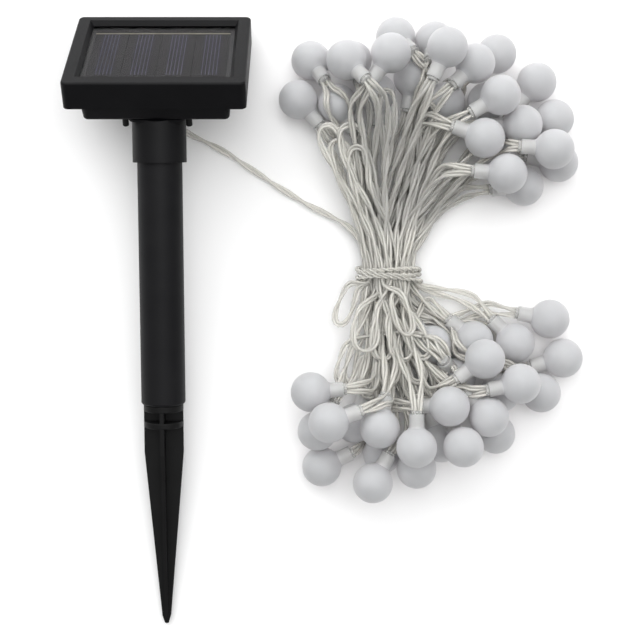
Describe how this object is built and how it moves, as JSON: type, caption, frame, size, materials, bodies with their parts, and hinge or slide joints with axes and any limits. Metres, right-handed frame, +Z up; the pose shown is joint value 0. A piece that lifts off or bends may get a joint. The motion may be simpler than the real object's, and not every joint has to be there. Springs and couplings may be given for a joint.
{
  "type": "solar string lights",
  "caption": "Solar panel head on a ground stake, with frosted globe lamps on a clear twisted cable folded into a tied hank.",
  "frame": {"origin": "on the surface the set lies on, under the middle of the stake and head", "axes": "+Y along the stake towards the solar head, +Z up, +X towards the hank"},
  "size_m": [0.2315, 0.2805, 0.0591],
  "materials": {
    "black_plastic": "moulded matte black, fine grain",
    "button_plastic": "moulded black",
    "clear_resin": "clear potting resin, slightly satin",
    "circuit_laminate": "laminate board",
    "silicon_cells": "dark blue-grey silicon",
    "printed_silver": "printed silver lines",
    "seal_rubber": "soft black rubber",
    "plated_steel": "bright plated steel",
    "component_plastic": "black moulded components",
    "metal_can": "bare metal can",
    "wire_insulation": "insulated hook-up wire",
    "clear_cable": "clear twisted pair with tinned copper cores",
    "frosted_plastic": "frosted white diffusing plastic",
    "clear_plastic": "clear moulded plastic",
    "led_epoxy": "cast epoxy, pale yellow"
  },
  "bodies": {
    "head_and_lights": {"base_case": "black_plastic", "battery_cell": "metal_can", "battery_holder": "component_plastic", "battery_leads": "wire_insulation", "board_screws": "plated_steel", "boost_inductor": "component_plastic", "cable_grommet": "seal_rubber", "case_gasket": "seal_rubber", "case_screws": "plated_steel", "cell_busbar": "printed_silver", "cell_fingers": "printed_silver", "circuit_board": "circuit_laminate", "controller_chip": "component_plastic", "globes_lower_1": "frosted_plastic", "globes_lower_2": "frosted_plastic", "globes_lower_3": "frosted_plastic", "globes_lower_4": "frosted_plastic", "globes_lower_5": "frosted_plastic", "globes_upper_1": "frosted_plastic", "globes_upper_2": "frosted_plastic", "globes_upper_3": "frosted_plastic", "globes_upper_4": "frosted_plastic", "globes_upper_5": "frosted_plastic", "hank_tie": "clear_cable", "holders_lower_1": "clear_plastic", "holders_lower_2": "clear_plastic", "holders_lower_3": "clear_plastic", "holders_lower_4": "clear_plastic", "holders_lower_5": "clear_plastic", "holders_upper_1": "clear_plastic", "holders_upper_2": "clear_plastic", "holders_upper_3": "clear_plastic", "holders_upper_4": "clear_plastic", "holders_upper_5": "clear_plastic", "lead_cable": "clear_cable", "leds_lower": "led_epoxy", "leds_upper": "led_epoxy", "light_hank": "clear_cable", "mode_switch": "component_plastic", "negative_spring": "plated_steel", "panel_board": "circuit_laminate", "panel_cover": "clear_resin", "panel_leads": "wire_insulation", "positive_contact": "plated_steel", "power_switch": "component_plastic", "solar_cells": "silicon_cells", "stake_socket": "black_plastic", "storage_capacitor": "metal_can", "top_cover": "black_plastic"},
    "stake_tube": {"stake_tube": "black_plastic"},
    "ground_spike": {"ground_spike": "black_plastic"},
    "power_button": {"power_button": "button_plastic"},
    "mode_button": {"mode_button": "button_plastic"}
  },
  "joints": [
    {"name": "tube_swivel", "type": "hinge", "parent": "head_and_lights", "child": "stake_tube", "pos_m": [0, 0.07794, 0.03243], "axis": [0, 0.9903, 0.1392], "continuous": true},
    {"name": "spike_pull", "type": "slide", "parent": "stake_tube", "child": "ground_spike", "axis": [0, -0.9903, -0.1392], "range_m": [0, 0.022]},
    {"name": "power_press", "type": "slide", "parent": "head_and_lights", "child": "power_button", "axis": [0, 0.788, 0.6157], "range_m": [0, 0.0012], "stiffness_N_per_m": 300, "springref_m": -0.001},
    {"name": "mode_press", "type": "slide", "parent": "head_and_lights", "child": "mode_button", "axis": [0, 0.788, 0.6157], "range_m": [0, 0.0012], "stiffness_N_per_m": 300, "springref_m": -0.001}
  ]
}
